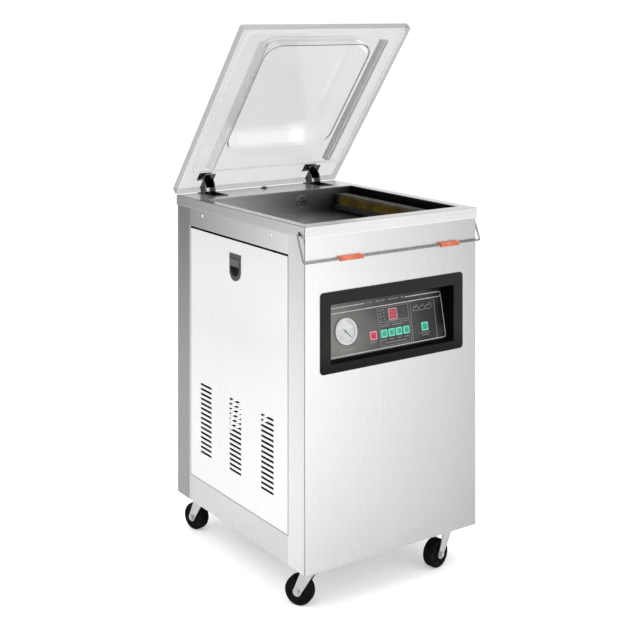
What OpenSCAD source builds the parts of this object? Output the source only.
// Floor-standing chamber vacuum packing machine on casters, lid standing open.
// Origin: on the floor under the middle of the overall outline, lid open.
// +X right, +Y towards the back, +Z up. Millimetres.

/* [Cabinet] */
// Width of the cabinet, side to side
body_w = 490; // [488:1:492]
// Depth of the cabinet, front to back
body_d = 585; // [584:1:588]
// Height of the cabinet above its base
body_h = 757; // [755:1:760]
// Height of the base above the floor, set by the casters
caster_h = 95; // [95:1:97]
// Thickness of the cabinet sheets
sheet = 1.5; // [1.2:0.1:1.6]
// How far the top cover stands out past the cabinet
rim_out = 2.3; // [2:0.1:2.6]
// Height of the top cover's skirt
skirt_h = 25; // [24:1:28]

/* [Chamber] */
// Width of the chamber opening
ch_w = 442; // [440:1:444]
// Depth of the chamber opening, front to back
ch_d = 439; // [437:1:441]
// Width of the deck in front of the chamber
front_rim = 36; // [35:1:37]
// Height of the chamber, from its floor to the top cover
ch_h = 61; // [60:1:64]

/* [Lid] */
// Angle the lid stands open at rest
lid_open = 51.5; // [45:0.5:51.5]
// Width of the lid plate
lid_w = 500; // [496:1:500]
// Depth of the lid plate
lid_d = 545; // [540:1:545]
// Thickness of the lid plate
lid_t = 18; // [16:1:18]
// Height of the dome above the lid plate
dome_h = 33; // [28:1:36]
// Corner radius of the dome
dome_r = 46; // [40:1:50]

/* [Control panel] */
// Tilt of the control panel
ctl_tilt = 12; // [11:0.5:13]
// Width of the opening in the bezel
ctl_w = 351; // [350:1:352]
// Height of the opening in the bezel
ctl_h = 129; // [128:1:130]

/* [Side door] */
// Number of rows of cooling slots
slot_rows = 15; // [10:1:16]
// Length of a cooling slot
slot_l = 54; // [48:1:56]
// Height of a cooling slot
slot_hh = 5.5; // [4:0.5:6]

/* [Casters] */
// Radius of a caster wheel
wheel_r = 33; // [32:0.5:33]
// Width of a caster wheel
wheel_w = 28; // [26:1:28]
// Distance from the swivel axis to the axle
trail = 25; // [22:1:26]

/* [Hidden] */
$fn = 64;

// colours shared by several nodes
side_grey = [0.84, 0.84, 0.84];
metal = [0.7, 0.7, 0.7];
bright = [0.8, 0.8, 0.8];
zinc = [0.75, 0.76, 0.78];
black = [0.08, 0.08, 0.08];
green = [0.18, 0.7, 0.55];
tape_brown = [0.45, 0.3, 0.15];
motor_blue = [0.25, 0.3, 0.4];

// the cabinet's centre lies this far in front of the origin: the open lid overhangs the back
centre_y = 4.389;
half_w = body_w / 2;
half_d = body_d / 2;
base_z = caster_h;
top_z = base_z + body_h;
// top edge of the cabinet sheets, inside the skirt
sheet_z = top_z - skirt_h + 2;
// back edge of the side sheets
side_back = half_d - 62.6;
gap = 0.1;

// chamber
ch_x = ch_w / 2;
ch_front = -half_d + front_rim;
ch_back = ch_front + ch_d;
floor_z = top_z - ch_h;

// lid hinge axis, pin radius and left edges of the two hinges
hinge_y = half_d - 15;
hinge_z = top_z - 32;
pin_r = 4;
arm_xs = [-190, 137];
// lid, drawn shut
lid_back = half_d - 27.5;
lid_front = lid_back - lid_d;
lid_z = top_z + 5;
lid_top = lid_z + lid_t;
dome_left = -159;
dome_right = 158;
dome_front = lid_front + 54;
dome_back = lid_front + 404;
// lid bolts: from a hinge's left edge, and from the lid's back edge
bolt_dx = 21;
bolt_dys = [-48, -34];
plunger_y = half_d - 24;

// control panel centre, and length of its opening along the tilt
panel_x = -2.5;
panel_y = -half_d + 34.8;
panel_z = top_z - 241.5;
panel_l = ctl_h / cos(ctl_tilt);
// places on the panel, from its centre
gauge_x = -111.5;
gauge_y = -9.7;
display_x = 25.5;
display_y = 11;
button_y = -29.7;
stop_x = -37;
set_xs = [-6, 15.6, 37, 58.8];
start_x = 114;
// widths of the set buttons and of the stop and start buttons
set_w = 17.8;
end_w = 19.8;

// side door, and the gaps at its edges and above it
door_gap = 2.2;
door_top_gap = 5;
door_z0 = base_z + 66;
door_z1 = base_z + 683;
door_y = 222.5;
door_edge = door_y + door_gap;
door_head = door_z1 + door_top_gap;
pivot_x = -half_w + 7;
pivot_z = door_z0 + 10;
pivot_r = 3;
latch_y = 5.5;
latch_z = base_z + 620;
slot_ys = [145, 4.5, -137.5];
slot_z0 = base_z + 137.5;
slot_z1 = base_z + 304;

// seal bars and the rods that lift them
bar_x = 180;
bar_front = ch_front + 9;
bar_back = ch_back - 10;
bar_top = top_z - 16;
rod_ys = [bar_front + 90, bar_back - 90];
rod_r = 5;
rod_bore_r = rod_r + 0.05;

// vacuum port, hose, pump and motor
port_x = 64;
port_z = top_z - 30;
hose_r = 15.5;
hose_bore_r = 11;
hose_bend = 26;
pump_y = 40;
motor_z = base_z + 105;
// cross rails that carry the pump set, and the underside of its feet
rail_ys = [-30, 110];
feet_z = base_z + 17.1;
valve_xs = [-60, -10];
valve_y = half_d - 75;
valve_z = top_z - 130;
inlet_x = -160;
inlet_z = base_z + 87;

// casters, front left, front right, rear left, rear right: x, y, swivel angle
casters = [[-198, -242.5, 122.4], [182, -242.5, 192], [-198, 242.5, 105], [182, 242.5, 128]];
plate_bolt = 22.5;
axle_r = 4;

// bail handle: its pivots, the offset of its bar from them, and its wire
bail_x = half_w + 8.25;
bail_y = -half_d + 20;
bail_z = top_z - 17;
bail_dy = -26;
bail_dz = -60;
wire_r = 2.25;
bend_r = 5;

// ---------------------------------------------------------------- helpers
// box between two opposite corners
module box(x0, y0, z0, x1, y1, z1) translate([x0, y0, z0]) cube([x1 - x0, y1 - y0, z1 - z0]);
// rounded rectangle, centred
module rounded(w, h, r) {
  square([w, h - 2 * r], center = true);
  square([w - 2 * r, h], center = true);
  for (i = [-1, 1], j = [-1, 1]) translate([i * (w / 2 - r), j * (h / 2 - r)]) circle(r = r);
}
// cylinder along X or Y
module rod_x(r, x0, x1, y, z)
  translate([x0, y, z]) rotate([0, 90, 0]) cylinder(r = r, h = x1 - x0);
module rod_y(r, x, y0, y1, z)
  translate([x, y0, z]) rotate([-90, 0, 0]) cylinder(r = r, h = y1 - y0);
module hinge_rod(r, x0, x1) rod_x(r, x0, x1, hinge_y, hinge_z);
// places its children on the tilted control panel: X right, Y up the panel, Z outwards
module on_panel()
  translate([panel_x, panel_y, panel_z]) rotate([90 - ctl_tilt, 0, 0]) children();
module on_gauge(z = 0) on_panel() translate([gauge_x, gauge_y, z]) children();
// places its children on the side door's latch: X up, Z outwards
module on_latch() translate([-half_w, latch_y, latch_z]) rotate([0, -90, 0]) children();
// turns its children, drawn with the lid shut, about the lid hinge
module lid_at() translate([0, hinge_y, hinge_z]) rotate([-lid_open, 0, 0])
  translate([0, -hinge_y, -hinge_z]) children();
// at the two lid bolts of the hinge whose left edge is x
module at_lid_bolts(x, z)
  for (dy = bolt_dys) translate([x + bolt_dx, lid_back + dy, z]) children();
// at the two lift rods of one side: -1 left, 1 right
module at_rods(side, z) for (y = rod_ys) translate([side * bar_x, y, z]) children();
module at_plate_bolts()
  for (i = [-1, 1], j = [-1, 1]) translate([i * plate_bolt, j * plate_bolt, 0]) children();
// repeats its children round the motor's axis
module around_motor(count) translate([0, pump_y, motor_z])
  for (k = [0 : count - 1]) rotate([k * 360 / count, 0, 0]) children();
// box centred on the power inlet, seen from the back
module inlet_box(half_x, half_z, y0, y1)
  box(inlet_x - half_x, y0, inlet_z - half_z, inlet_x + half_x, y1, inlet_z + half_z);
// cutter for one round-ended slot along X
module slot() linear_extrude(6, center = true) {
  square([slot_l - slot_hh, slot_hh], center = true);
  for (s = [-1, 1]) translate([s * (slot_l - slot_hh) / 2, 0]) circle(d = slot_hh, $fn = 24);
}
// puts a node, drawn about the cabinet's centre, in its place
module placed() translate([0, -centre_y, 0]) children();

// ---------------------------------------------------------------- cabinet
module corner_post() {
  post_h = top_z - 4.1 - base_z - 2;
  cube([20, 2, post_h]);
  cube([2, 14, post_h]);
}
module base_frame() color([0.62, 0.63, 0.64]) {
  in_x = half_w - sheet - gap;
  in_y = half_d - sheet - gap;
  difference() {
    union() {
      box(-in_x, -in_y, base_z + 2, in_x, in_y, base_z + 4);
      // doubler pads above the casters
      for (c = casters) box(c[0] - 37, c[1] - 37, base_z, c[0] + 37, c[1] + 37, base_z + 3);
      // upstands along the four edges
      for (s = [-1, 1]) {
        y = s * (half_d - 3);
        box(-half_w + 30, y - 1, base_z + 2, half_w - 30, y + 1, base_z + 27);
        x = s * (half_w - 3);
        box(x - 1, -half_d + 30, base_z + 2, x + 1, half_d - 30, base_z + 27);
      }
      for (y = rail_ys) box(-half_w + 20, y - 12, base_z + 3, half_w - 20, y + 12, base_z + 17);
      for (i = [0, 1], j = [0, 1]) mirror([i, 0, 0]) mirror([0, j, 0])
        translate([-in_x, -in_y, base_z + 2]) corner_post();
    }
    for (c = casters) translate([c[0], c[1], base_z - 1]) at_plate_bolts()
      cylinder(r = 4.1, h = 6);
    // hollow of the cross rails
    for (y = rail_ys) box(-half_w + 19, y - 10, base_z + 4, half_w - 19, y + 10, base_z + 15);
  }
}
module front_panel() color([0.86, 0.86, 0.86]) difference() {
  flange_x = half_w - 24.5;
  union() {
    box(-half_w, -half_d, base_z, half_w, -half_d + sheet, sheet_z);
    for (x = [-flange_x, flange_x - sheet])
      box(x, -half_d + sheet - 0.5, base_z + 60, x + sheet, -half_d + 14, sheet_z - 20);
  }
  translate([panel_x, -half_d + 20, panel_z]) rotate([90, 0, 0])
    linear_extrude(40) rounded(ctl_w + 7, ctl_h + 7, 1.2);
}
// cutters for the cooling slots in a side sheet
module slot_field(x) {
  pitch = (slot_z1 - slot_z0) / (slot_rows - 1);
  for (y = slot_ys, k = [0 : slot_rows - 1])
    translate([x, y, slot_z0 + k * pitch]) rotate([90, 0, 90]) slot();
}
module left_side_frame() color(side_grey) difference() {
  in_x = -half_w + sheet;
  union() {
    difference() {
      box(-half_w, -half_d + sheet + 1.2, base_z, in_x, side_back, sheet_z);
      box(-half_w - 1, -door_edge, door_z0 - 1.5, -half_w + 3, door_edge, door_head);
    }
    // returns at the sides and top of the doorway
    for (s = [-1, 1]) {
      y = s * (door_edge + 0.75);
      box(in_x, y - 0.75, door_z0 - 1.5, -half_w + 17, y + 0.75, door_head + 1.5);
    }
    box(in_x, -door_edge, door_head, -half_w + 17, door_edge, door_head + 1.5);
    // magnetic catch for the door
    box(-half_w + 4, -150, door_z1 - 12, -half_w + 15, -110, door_head + 0.5);
  }
  for (y = [-door_y - 5, door_y]) rod_y(pivot_r + 0.1, pivot_x, y, y + 5, pivot_z);
}
module right_side_panel() color(side_grey) difference() {
  box(half_w - sheet, -half_d + sheet + gap, base_z, half_w, side_back, sheet_z);
  slot_field(half_w);
}
module rear_cover() color([0.72, 0.72, 0.72]) difference() {
  union() {
    box(-half_w, half_d - sheet, base_z, half_w, half_d, sheet_z);
    for (x = [-half_w, half_w - sheet])
      box(x, half_d - 62, base_z, x + sheet, half_d - sheet, sheet_z);
  }
  // power inlet, exhaust and cooling slots
  inlet_box(14.4, 11.4, half_d - 3, half_d + 1);
  rod_y(19.5, 120, half_d - 3, half_d + 1, base_z + 320);
  for (k = [0 : 11], x = [-75, 0, 75])
    translate([x, half_d, base_z + 130 + k * 12]) rotate([90, 0, 0]) slot();
}
module top_cover() color([0.78, 0.78, 0.79]) difference() {
  out_x = half_w + rim_out;
  out_y = half_d + rim_out;
  box(-out_x, -out_y, top_z - skirt_h, out_x, out_y, top_z);
  box(-out_x + 2, -out_y + 2, top_z - skirt_h - 1, out_x - 2, out_y - 2, top_z - 2);
  box(-ch_x, ch_front, top_z - 5, ch_x, ch_back, top_z + 1);
  for (x = arm_xs) box(x + 5, half_d - 78, top_z - 5, x + 43, half_d - 3, top_z + 1);
  translate([0, plunger_y, top_z - 5]) cylinder(r = 8, h = 8);
  rod_x(wire_r + 0.1, -half_w - 6, half_w + 6, bail_y, bail_z);
}
module chamber_tub() color([0.6, 0.6, 0.6]) difference() {
  union() {
    box(-ch_x - sheet, ch_front - sheet, floor_z - 3, ch_x + sheet, ch_back + sheet, top_z - 2);
    box(-ch_x - 14, ch_front - 14, top_z - 4, ch_x + 14, ch_back + 14, top_z - 2);
  }
  box(-ch_x, ch_front, floor_z, ch_x, ch_back, top_z + 1);
  for (side = [-1, 1]) at_rods(side, floor_z - 4) cylinder(r = rod_bore_r, h = 6);
  rod_y(13, port_x, ch_back - 1, ch_back + 4, port_z);
}

// ---------------------------------------------------------------- controls
module control_bezel() color([0.16, 0.16, 0.17]) difference() {
  out_x = ctl_w / 2 + 3;
  out_z = ctl_h / 2 + 3;
  union() {
    translate([-1.5, -half_d, panel_z + 3.5]) rotate([90, 0, 0])
      linear_extrude(3) rounded(409, 180, 9);
    // surround, cut off behind the tilted panel
    difference() {
      box(panel_x - out_x, -half_d - 0.5, panel_z - out_z,
          panel_x + out_x, -half_d + 64, panel_z + out_z);
      on_panel() translate([-250, -150, -108]) cube([500, 300, 104]);
    }
  }
  // opening, less a ledge behind the panel's edge
  difference() {
    translate([panel_x, -half_d + 70, panel_z]) rotate([90, 0, 0])
      linear_extrude(80) rounded(ctl_w, ctl_h, 3);
    on_panel() difference() {
      translate([-250, -150, -5]) cube([500, 300, 2.9]);
      translate([-ctl_w / 2 + 5, -panel_l / 2 + 5, -6]) cube([ctl_w - 10, panel_l - 10, 5]);
    }
  }
}
module button_hole(x, w)
  translate([x, button_y, -3]) linear_extrude(4) rounded(w + 0.6, w + 0.6, 2.4);
module control_panel() color([0.3, 0.3, 0.31]) on_panel() difference() {
  translate([0, 0, -2]) linear_extrude(2) rounded(ctl_w - 1, panel_l - 1.6, 2.5);
  translate([gauge_x, gauge_y, -3]) cylinder(r = 26.6, h = 4);
  translate([display_x, display_y, -3]) linear_extrude(4) square([26.4, 26.4], center = true);
  for (x = set_xs) button_hole(x, set_w);
  for (x = [stop_x, start_x]) button_hole(x, end_w);
}
// square cap on a round stem
module button(x, w) on_panel() translate([x, button_y, 0]) {
  translate([0, 0, -5]) linear_extrude(7.4) rounded(w, w, 2.2);
  translate([0, 0, -14]) cylinder(r = 2.4, h = 9.5);
}
module stop_button() color([0.75, 0.15, 0.25]) button(stop_x, end_w);
module set_button_1() color(green) button(set_xs[0], set_w);
module set_button_2() color(green) button(set_xs[1], set_w);
module set_button_3() color(green) button(set_xs[2], set_w);
module set_button_4() color(green) button(set_xs[3], set_w);
module start_button() color(green) button(start_x, end_w);
module display_window() color([0.12, 0.02, 0.03]) on_panel()
  translate([display_x, display_y, -3]) linear_extrude(3.5) rounded(26, 26, 1);
module gauge_case() color([0.82, 0.82, 0.83]) on_gauge() difference() {
  union() {
    translate([0, 0, -28]) cylinder(r = 26.5, h = 31);
    translate([0, 0, 0.05]) cylinder(r = 30, h = 2.95);
    // rim with a rounded edge
    translate([0, 0, 3]) rotate_extrude() translate([26, 0]) {
      square([2.6, 1.4]);
      translate([2.6, 0]) circle(r = 1.4, $fn = 24);
    }
    translate([0, 0, -38]) cylinder(r = 6, h = 11);
  }
  translate([0, 0, -26]) cylinder(r = 25.2, h = 40);
  translate([0, 0, -40]) cylinder(r = 2.5, h = 12);
}
module gauge_dial() color([0.95, 0.95, 0.95]) on_gauge(-1.5) difference() {
  cylinder(r = 25.1, h = 1);
  translate([0, 0, -1]) cylinder(r = 0.9, h = 3);
}
// spindle, hub and pointer
module gauge_needle() color([0.25, 0.25, 0.25]) on_gauge() {
  translate([0, 0, -6]) cylinder(r = 0.8, h = 7.4, $fn = 32);
  translate([0, 0, 0.4]) cylinder(r = 2.6, h = 1, $fn = 32);
  rotate([0, 0, -45]) translate([0, 0, 0.5]) linear_extrude(0.7)
    polygon([[-8, -1.1], [-8, 1.1], [0, 1.1], [19.5, 0.35], [19.5, -0.35], [0, -1.1]]);
}
module gauge_lens() color([0.85, 0.92, 0.95, 0.4]) on_gauge(2) cylinder(r = 25.1, h = 1.6);
// board with a switch behind each button, the display and four spacers
module circuit_board() color([0.1, 0.4, 0.2]) on_panel() {
  face_z = -19.6;
  translate([-60, -52, face_z - 1.6]) cube([215, 88, 1.6]);
  for (x = concat(set_xs, [stop_x, start_x]))
    translate([x - 3.5, button_y - 3.5, face_z]) cube([7, 7, 3.6]);
  translate([display_x - 12, display_y - 12, face_z]) cube([24, 24, 16.4]);
  for (x = [-54, 149], y = [-47, 30]) translate([x, y, face_z]) cylinder(r = 3, h = 17.4);
}

// ---------------------------------------------------------------- side door
module side_door() color([0.93, 0.93, 0.93]) {
  in_x = -half_w + sheet;
  difference() {
    box(-half_w, -door_y, door_z0, in_x, door_y, door_z1);
    slot_field(-half_w);
    on_latch() linear_extrude(8, center = true) latch_outline(22.2, 46.2);
  }
  // flanges at the sides, bottom and top
  for (y = [-door_y, door_y - 1.5]) box(in_x, y, door_z0, -half_w + 14, y + 1.5, door_z1);
  box(in_x, -door_y, door_z0, -half_w + 14, door_y, door_z0 + 1.5);
  box(in_x, -door_y, door_z1 - 1.5, -half_w + 2.5, door_y, door_z1);
  for (y = [-door_y - 5, door_y - 1.5]) rod_y(pivot_r, pivot_x, y, y + 6.5, pivot_z);
}
// D shape: flat top, round bottom; +X is up
module latch_outline(r, h) {
  translate([-(h / 2 - r), 0]) circle(r = r);
  translate([-(h / 2 - r), -r]) square([h - r, 2 * r]);
}
module latch_pin(r, l)
  translate([18.6, 0, 1.4]) rotate([90, 0, 0]) cylinder(r = r, h = l, center = true);
module latch_housing() color(black) on_latch() difference() {
  union() {
    linear_extrude(2) latch_outline(24, 64);
    translate([0, 0, -14]) linear_extrude(14.5) latch_outline(22, 46);
  }
  translate([0, 0, -12.5]) linear_extrude(20) latch_outline(20.4, 43);
  latch_pin(1.55, 43);
}
module latch_paddle() color([0.35, 0.35, 0.36]) on_latch() {
  translate([2, -19.6, 0.2]) cube([16, 39.2, 2.2]);
  latch_pin(1.5, 42);
}

// ---------------------------------------------------------------- lid
// domed block on z; back_top is how far back its top reaches
module dome(x0, x1, y0, y1, back_top, z, h, r, inset) hull() {
  for (x = [x0 + r, x1 - r], y = [y0 + r, y1 - r])
    translate([x, y, z]) cylinder(r = r, h = 0.5, $fn = 36);
  for (x = [x0 + r, x1 - r], y = [y0 + r, back_top - r]) translate([x, y, z + h - 12])
    cylinder(r1 = r - inset * 0.6, r2 = r - inset * 1.5, h = 12, $fn = 36);
}
module lid_plate() color([0.85, 0.88, 0.9, 0.45]) lid_at() difference() {
  wall = 7;
  union() {
    box(-lid_w / 2, lid_front, lid_z, lid_w / 2, lid_back, lid_top);
    dome(dome_left, dome_right, dome_front, dome_back, dome_back - 30,
         lid_top - 1, dome_h + 1, dome_r, 5);
  }
  dome(dome_left + wall, dome_right - wall, dome_front + wall, dome_back - wall,
       dome_back - 36, lid_z - 1, dome_h + lid_t - wall, dome_r - wall, 3);
  for (x = arm_xs) at_lid_bolts(x, lid_z - 1) cylinder(r = 3.3, h = lid_t + 2);
}
module lid_gasket() color([0.85, 0.86, 0.88]) lid_at()
  translate([0, (ch_front + ch_back) / 2 - 5, lid_z - 4.8]) linear_extrude(4.8) difference() {
    rounded(ch_w + 30.4, ch_d + 28.4, 12);
    rounded(ch_w + 13.6, ch_d + 11.6, 4);
  }
module pressure_strips() color([0.75, 0.75, 0.76]) lid_at() for (s = [-1, 1]) {
  x = s * (bar_x - 0.5);
  box(x - 12.5, ch_front + 14, lid_z - 5, x + 12.5, ch_back - 10, lid_z);
  box(x - 8, ch_front + 16, lid_z - 12, x + 8, ch_back - 12, lid_z - 5);
}
// clamp plates on the lid, with their bolts and nuts
module lid_clamps() color(metal) lid_at() for (x = arm_xs) {
  difference() {
    box(x + 3, lid_back - 58, lid_top, x + 39, lid_back - 24, lid_top + 2.5);
    at_lid_bolts(x, lid_top - 1) cylinder(r = 3.1, h = 5);
  }
  at_lid_bolts(x, lid_z - 2.4) cylinder(r = 3, h = lid_t + 6);
  at_lid_bolts(x, lid_top + 2.6) difference() {
    cylinder(r = 5.6, h = 4.6, $fn = 6);
    translate([0, 0, -1]) cylinder(r = 3.05, h = 5);
  }
}
// cheek outline, lid shut: y, z from the hinge axis
cheek_points = [
  [-32, 34.9], [-29, 32], [-14, 16], [5.5, 9], [8, 0], [4, -7.5], [-8, -7],
  [-22, -3.5], [-35, 2], [-46, 10], [-54, 20], [-57, 30], [-58, 34.3], [-64, 34.9]];
module cheek_outline() {
  polygon(cheek_points);
  circle(r = 8);
}
module hinge_arms() color([0.5, 0.5, 0.51]) lid_at() for (a = arm_xs) difference() {
  under_z = lid_z - 0.05;
  union() {
    box(a + 6, lid_back - 65, lid_z - 2.5, a + 36, lid_back - 16, under_z);
    for (x = [a + 6, a + 33]) {
      translate([x, hinge_y, hinge_z]) rotate([90, 0, 90]) linear_extrude(3) cheek_outline();
      box(x, lid_back - 65, lid_z - 2.9, x + 3, lid_back - 28, under_z);
    }
    // stop stud
    rod_x(3.6, a + 35.5, a + 41, hinge_y - 38, hinge_z + 21);
  }
  hinge_rod(pin_r + 0.05, a + 5, a + 37);
  at_lid_bolts(a, lid_z - 5) cylinder(r = 3.1, h = 6);
}
// two cheeks joined below, hung from the top cover by a tab on the left
module hinge_brackets() color([0.55, 0.56, 0.57]) {
  front = hinge_y - 14;
  back = hinge_y + 12;
  tab_z = top_z - 2.1;
  for (a = arm_xs) difference() {
    union() {
      for (x = [a + 2, a + 37.2]) box(x, front, hinge_z - 20, x + 2.8, back, hinge_z + 20);
      box(a + 2, front, hinge_z - 22, a + 40, back, hinge_z - 19);
      box(a - 16, front, top_z - 4.9, a + 2.5, back, tab_z);
      box(a + 2, front, hinge_z + 18, a + 2.9, back, tab_z);
    }
    hinge_rod(pin_r + 0.05, a, a + 45);
  }
}
module hinge_pins() color(bright) for (a = arm_xs) {
  hinge_rod(pin_r, a - 1.5, a + 42.5);
  hinge_rod(6, a - 3.5, a - 1.4);
  hinge_rod(6, a + 42.4, a + 44.5);
}
// sleeve round the pin, with a leg down to the bracket
module hinge_springs() color([0.15, 0.15, 0.16]) for (a = arm_xs) {
  difference() {
    hinge_rod(7.6, a + 10, a + 32);
    hinge_rod(5, a + 9, a + 33);
  }
  box(a + 11, hinge_y + 5.2, hinge_z - 18.9, a + 13.4, hinge_y + 7.6, hinge_z);
}
module hinge_slot_frames() color([0.07, 0.07, 0.07]) {
  for (x = arm_xs) difference() {
    box(x + 1, half_d - 81, top_z + 0.02, x + 47, half_d - 1.5, top_z + 2);
    box(x + 5, half_d - 77, top_z - 5, x + 43, half_d - 4, top_z + 3);
  }
  // guide bush of the lid plunger
  translate([0, plunger_y, top_z]) difference() {
    union() {
      translate([0, 0, 0.02]) cylinder(r = 10, h = 1.2);
      translate([0, 0, -18]) cylinder(r = 7.9, h = 18.5);
    }
    translate([0, 0, -30]) cylinder(r = 4.05, h = 40);
  }
}
module lid_plunger() color([0.1, 0.1, 0.1]) translate([0, plunger_y, top_z]) {
  translate([0, 0, -24]) cylinder(r = 4, h = 28);
  translate([0, 0, 2.85]) cylinder(r = 6, h = 2.05, $fn = 6);
}

// ---------------------------------------------------------------- chamber fittings
module port_strainer() color(bright) difference() {
  union() {
    rod_y(16.5, port_x, ch_back - 3, ch_back - 0.05, port_z);
    rod_y(12.9, port_x, ch_back - 2, ch_back + 14, port_z);
  }
  rod_y(9, port_x, ch_back, ch_back + 20, port_z);
  // a ring of small holes round a larger one
  for (a = [0 : 45 : 315])
    rod_y(1.8, port_x + 9 * cos(a), ch_back - 5, ch_back + 1, port_z + 9 * sin(a));
  rod_y(3, port_x, ch_back - 5, ch_back + 1, port_z);
}
// quarter bend of hose
module elbow() rotate_extrude(angle = 90) translate([hose_bend, 0]) difference() {
  circle(r = hose_r);
  circle(r = hose_bore_r);
}
module hose_y(y0, y1, z, bore_r = hose_bore_r) difference() {
  rod_y(hose_r, port_x, y0, y1, z);
  rod_y(bore_r, port_x, y0 - 1, y1 + 1, z);
}
module hose_z(y, z0, z1) translate([port_x, y, z0]) difference() {
  cylinder(r = hose_r, h = z1 - z0);
  translate([0, 0, -1]) cylinder(r = hose_bore_r, h = z1 - z0 + 2);
}
// from the port back, down, forward and down to the pump
module vacuum_hose() color([0.75, 0.72, 0.65]) {
  back_y = ch_back + 15;
  low_z = base_z + 414;
  front_y = pump_y + hose_bend;
  hose_y(ch_back + 4, back_y, port_z, 13);
  translate([port_x, back_y, port_z - hose_bend]) rotate([90, 0, 90]) elbow();
  hose_z(back_y + hose_bend, low_z + hose_bend, port_z - hose_bend);
  translate([port_x, back_y, low_z + hose_bend]) rotate([90, 0, 90]) mirror([0, 1, 0]) elbow();
  hose_y(front_y, back_y, low_z);
  translate([port_x, front_y, low_z - hose_bend]) rotate([90, 0, 90]) mirror([1, 0, 0]) elbow();
  hose_z(pump_y, base_z + 245, low_z - hose_bend);
}
module seal_bar(side) {
  x = side * bar_x;
  box(x - 21, bar_front + 4, floor_z + 5, x + 21, bar_back - 4, floor_z + 15);
  box(x - 13, bar_front, floor_z + 15, x + 13, bar_back, bar_top - 2);
  at_rods(side, floor_z - 20) cylinder(r = rod_r, h = 26);
}
module seal_bar_left() color(metal) seal_bar(-1);
module seal_bar_right() color(metal) seal_bar(1);
// heating strip under a woven tape, and the clamp strips that hold the tape
module seal_tape(side) {
  x = side * bar_x;
  tape_z = bar_top - 1.95;
  box(x - 13, bar_front + 14, tape_z, x + 13, bar_back - 14, bar_top);
  for (edge_x = [x - 14.1, x + 14.1])
    box(edge_x - 1, bar_front + 18, floor_z + 18, edge_x + 1, bar_back - 18, bar_top - 4);
  for (y = [bar_front, bar_back - 13.9]) box(x - 13, y, tape_z, x + 13, y + 13.9, bar_top - 0.4);
}
module seal_tape_left() color(tape_brown) seal_tape(-1);
module seal_tape_right() color(tape_brown) seal_tape(1);
module lift_cylinders() color([0.5, 0.5, 0.52]) for (side = [-1, 1])
  at_rods(side, floor_z - 50) difference() {
    union() {
      cylinder(r = 17, h = 46.9);
      translate([0, 0, 40]) cylinder(r = 21, h = 6.9);
      translate([0, 0, 12]) rotate([0, 90, 0]) cylinder(r = 4, h = 24);
    }
    translate([0, 0, 8]) cylinder(r = rod_bore_r, h = 50);
  }

// ---------------------------------------------------------------- pump set
module pump_housing() color([0.45, 0.47, 0.5]) {
  difference() {
    union() {
      box(-6, -45, base_z + 22, 150, 125, base_z + 190);
      // ribs
      for (k = [0 : 8]) box(8 + k * 16, -53, base_z + 40, 13 + k * 16, 133, base_z + 175);
      // head and its hose spigot
      box(20, -10, base_z + 189, 105, 90, base_z + 225);
      translate([port_x, pump_y, base_z + 224]) cylinder(r = 16, h = 10);
      translate([port_x, pump_y, base_z + 233]) cylinder(r = 10.8, h = 30);
      for (x = [10, 134], y = rail_ys) translate([x, y, feet_z]) cylinder(r = 12, h = 6);
    }
    translate([port_x, pump_y, base_z + 230]) cylinder(r = 8, h = 40);
    rod_x(18, -7, 10, pump_y, motor_z);
    rod_x(14, 140, 152, 0, base_z + 80);
  }
  // plug in the right-hand face
  rod_x(13.9, 146, 154, 0, base_z + 80);
  // exhaust filter canister
  translate([128, 40, base_z + 190.1]) cylinder(r = 20, h = 60);
}
module pump_motor() color(motor_blue) {
  rod_x(62, -165, -12, pump_y, motor_z);
  rod_x(70, -11.9, -6.1, pump_y, motor_z);
  around_motor(12) box(-155, -2, 60, -20, 2, 70);
  // terminal box, foot and base plate
  box(-130, 20, base_z + 160, -60, 75, base_z + 195);
  box(-150, 5, feet_z, -40, 75, base_z + 60);
  box(-150, -44, feet_z, -40, 124, base_z + 22);
  // shaft ends
  rod_x(8, -190, -160, pump_y, motor_z);
  rod_x(14, -12, 8, pump_y, motor_z);
}
module motor_fan() color([0.2, 0.2, 0.2])
  translate([-186, pump_y, motor_z]) rotate([0, 90, 0]) difference() {
    union() {
      cylinder(r = 18, h = 14);
      for (k = [0 : 7]) rotate([0, 0, k * 45]) translate([16, -1, 1]) cube([36, 2, 12]);
    }
    translate([0, 0, -1]) cylinder(r = 8.05, h = 30);
  }
// cup with air holes in its end and notches for the motor's fins
module fan_cowl() color(motor_blue) difference() {
  rod_x(70, -198, -156, pump_y, motor_z);
  rod_x(67.5, -195.5, -155, pump_y, motor_z);
  around_motor(8) rod_x(7, -200, -190, 0, 40);
  around_motor(12) box(-168, -2.3, 60, -150, 2.3, 71);
}
module solenoid_valves() color([0.6, 0.5, 0.2]) {
  for (x = valve_xs) translate([x, valve_y, valve_z]) {
    translate([-15, -15, 0]) cube([30, 30, 40]);
    translate([0, 0, 40]) cylinder(r = 9, h = 14);
    translate([0, 0, -16]) cylinder(r = 7, h = 16.5);
    translate([-17, -19, 8]) cube([34, 4, 24]);
  }
  // shelf that carries the valves on the rear cover
  difference() {
    union() {
      box(-80, half_d - 92, valve_z - 2.1, 10, half_d - 1.6, valve_z - 0.1);
      box(-80, half_d - 3.6, valve_z - 30, 10, half_d - 1.6, valve_z - 1);
    }
    for (x = valve_xs) translate([x, valve_y, valve_z - 4]) cylinder(r = 7.2, h = 6);
  }
}
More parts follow.
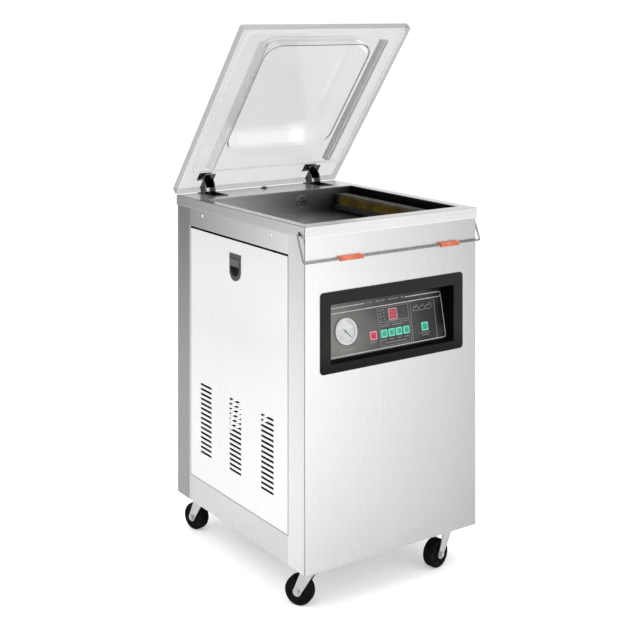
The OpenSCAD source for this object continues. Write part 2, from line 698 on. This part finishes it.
// open core with a winding through it
module transformer() color([0.35, 0.3, 0.25]) {
  difference() {
    box(60, -235, base_z + 4.1, 150, -165, base_z + 88);
    box(74, -236, base_z + 17, 136, -164, base_z + 73);
  }
  box(80, -250, base_z + 17.1, 130, -150, base_z + 72.9);
}
module power_inlet() color([0.1, 0.1, 0.1]) difference() {
  union() {
    inlet_box(18, 15, half_d + 0.05, half_d + 3);
    inlet_box(14, 11, half_d - 30, half_d + 1);
  }
  inlet_box(11, 8, half_d - 18, half_d + 4);
}

// ---------------------------------------------------------------- casters
// top plates with their king pins, bolts and nuts
module caster_plates() color(zinc) for (c = casters) translate([c[0], c[1], base_z]) {
  difference() {
    union() {
      translate([0, 0, -2.5]) linear_extrude(2.5) rounded(62, 62, 5);
      translate([0, 0, -10.5]) cylinder(r1 = 18, r2 = 22, h = 8.1);
      translate([0, 0, -24]) cylinder(r = 5, h = 24);
      translate([0, 0, -24]) cylinder(r = 9, h = 5, $fn = 6);
    }
    at_plate_bolts() translate([0, 0, -4]) cylinder(r = 4.1, h = 5);
  }
  at_plate_bolts() {
    translate([0, 0, -3]) cylinder(r = 4, h = 14);
    translate([0, 0, -7.6]) cylinder(r = 6.5, h = 5, $fn = 6);
    translate([0, 0, 4.1]) difference() {
      cylinder(r = 7, h = 6, $fn = 6);
      translate([0, 0, -1]) cylinder(r = 4.02, h = 8);
    }
  }
}
// point where a line from p touches a circle; side picks which of the two
function tangent(p, centre, r, side) =
  let (
    away = p - centre,
    angle = atan2(away[1], away[0]) + side * acos(r / norm(away))
  )
  centre + r * [cos(angle), sin(angle)];
module fork_cheek() {
  axle = [trail, wheel_r];
  front = [16, base_z - 15];
  back = [-16, base_z - 15];
  polygon([back, front, tangent(front, axle, 9.5, -1), axle, tangent(back, axle, 9.5, 1)]);
  translate(axle) circle(r = 10);
}
// puts its children, drawn with the trail along +X, at caster i
module at_caster(i)
  translate([casters[i][0], casters[i][1], 0]) rotate([0, 0, casters[i][2]]) children();
module caster_fork(i) at_caster(i) {
  in_y = wheel_w / 2 + 1.5;
  difference() {
    union() {
      translate([0, 0, base_z - 18]) cylinder(r = 20, h = 3);
      translate([0, 0, base_z - 15.5]) cylinder(r = 13.5, h = 4.6);
      box(-16, -in_y - 2.5, base_z - 18, 16, in_y + 2.5, base_z - 15);
      for (y = [-in_y, in_y + 2.5])
        translate([0, y, 0]) rotate([90, 0, 0]) linear_extrude(2.5) fork_cheek();
    }
    translate([0, 0, base_z - 30]) cylinder(r = 5.05, h = 40);
    rod_y(axle_r + 0.05, trail, -30, 30, wheel_r);
  }
  // axle and its nuts
  rod_y(axle_r, trail, -in_y - 7.5, in_y + 8, wheel_r);
  for (y = [in_y + 2.55, -in_y - 6.55])
    translate([trail, y, wheel_r]) rotate([-90, 0, 0]) cylinder(r = 6.5, h = 4, $fn = 6);
}
module caster_fork_fl() color(zinc) caster_fork(0);
module caster_fork_fr() color(zinc) caster_fork(1);
module caster_fork_rl() color(zinc) caster_fork(2);
module caster_fork_rr() color(zinc) caster_fork(3);
module caster_wheel(i) {
  w = wheel_w / 2;
  r = wheel_r;
  bore_r = axle_r + 0.05;
  // section: radius, place along the axle
  section = [
    [bore_r, -w - 1], [11, -w - 1], [13, -w + 3], [21, -w + 3], [23, -w], [r - 4, -w],
    [r - 1.2, -w + 1.2], [r, -w + 4], [r, w - 4], [r - 1.2, w - 1.2],
    [r - 4, w], [23, w], [21, w - 3], [13, w - 3], [11, w + 1], [bore_r, w + 1]];
  at_caster(i) translate([trail, 0, r]) rotate([90, 0, 0]) rotate_extrude() polygon(section);
}
module caster_wheel_fl() color(black) caster_wheel(0);
module caster_wheel_fr() color(black) caster_wheel(1);
module caster_wheel_rl() color(black) caster_wheel(2);
module caster_wheel_rr() color(black) caster_wheel(3);

// ---------------------------------------------------------------- bail handle
// quarter bend of the wire, turned by angle round its centre
module bend(x, z, angle) translate([x, 0, z]) rotate([90, 0, 0]) rotate([0, 0, angle])
  rotate_extrude(angle = 90) translate([bend_r, 0]) circle(r = wire_r);
// two mirrored halves: pivot end, bend, leg, bend, half of the bar
module bail_wire() color(bright) {
  leg = norm([bail_dy, bail_dz]);
  swing = atan2(bail_dy, -bail_dz);
  pin = bail_x - half_w + 6;
  translate([0, bail_y, bail_z]) rotate([180 + swing, 0, 0])
    for (m = [0, 1]) mirror([m, 0, 0]) translate([-bail_x, 0, 0]) {
      rod_x(wire_r, bend_r, pin, 0, 0);
      bend(bend_r, bend_r, 180);
      translate([0, 0, bend_r]) cylinder(r = wire_r, h = leg - 2 * bend_r);
      bend(bend_r, leg - bend_r, 90);
      rod_x(wire_r, bend_r, bail_x + 0.5, 0, leg);
    }
}
module bail_grips() color([0.9, 0.35, 0.2]) {
  y = bail_y + bail_dy;
  z = bail_z + bail_dz;
  // left and right end of each grip
  for (ends = [[-157, -94], [131, 186]]) difference() {
    union() {
      rod_x(5.5, ends[0] + 2, ends[1] - 2, y, z);
      rod_x(4.8, ends[0], ends[1], y, z);
    }
    rod_x(wire_r + 0.02, ends[0] - 1, ends[1] + 1, y, z);
  }
}

// ---------------------------------------------------------------- fasteners
// cross-head screw on a side sheet: -1 left, 1 right; z from the base
module side_screw(side, y, z)
  translate([side * half_w, y, base_z + z]) rotate([0, side * 90, 0]) difference() {
    cylinder(r1 = 3.6, r2 = 2.6, h = 1.6, $fn = 32);
    for (a = [0, 90]) rotate([0, 0, a]) translate([-2, -0.4, 0.8]) cube([4, 0.8, 2]);
  }
module panel_screws() color(metal) {
  for (side = [-1, 1], y = [163.5, -155]) side_screw(side, y, 720);
  for (z = [30, 250, 480, 700]) side_screw(1, half_d - 50, z);
  for (y = [-250, 200]) side_screw(1, y, 35);
}

placed() base_frame();
placed() front_panel();
placed() left_side_frame();
placed() right_side_panel();
placed() rear_cover();
placed() top_cover();
placed() chamber_tub();
placed() control_bezel();
placed() control_panel();
placed() display_window();
placed() gauge_case();
placed() gauge_dial();
placed() gauge_lens();
placed() gauge_needle();
placed() circuit_board();
placed() stop_button();
placed() set_button_1();
placed() set_button_2();
placed() set_button_3();
placed() set_button_4();
placed() start_button();
placed() side_door();
placed() latch_housing();
placed() latch_paddle();
placed() lid_plate();
placed() lid_gasket();
placed() pressure_strips();
placed() lid_clamps();
placed() hinge_arms();
placed() hinge_brackets();
placed() hinge_pins();
placed() hinge_springs();
placed() hinge_slot_frames();
placed() lid_plunger();
placed() port_strainer();
placed() vacuum_hose();
placed() seal_bar_left();
placed() seal_bar_right();
placed() seal_tape_left();
placed() seal_tape_right();
placed() lift_cylinders();
placed() pump_housing();
placed() pump_motor();
placed() motor_fan();
placed() fan_cowl();
placed() solenoid_valves();
placed() transformer();
placed() power_inlet();
placed() caster_plates();
placed() caster_fork_fl();
placed() caster_fork_fr();
placed() caster_fork_rl();
placed() caster_fork_rr();
placed() caster_wheel_fl();
placed() caster_wheel_fr();
placed() caster_wheel_rl();
placed() caster_wheel_rr();
placed() bail_wire();
placed() bail_grips();
placed() panel_screws();
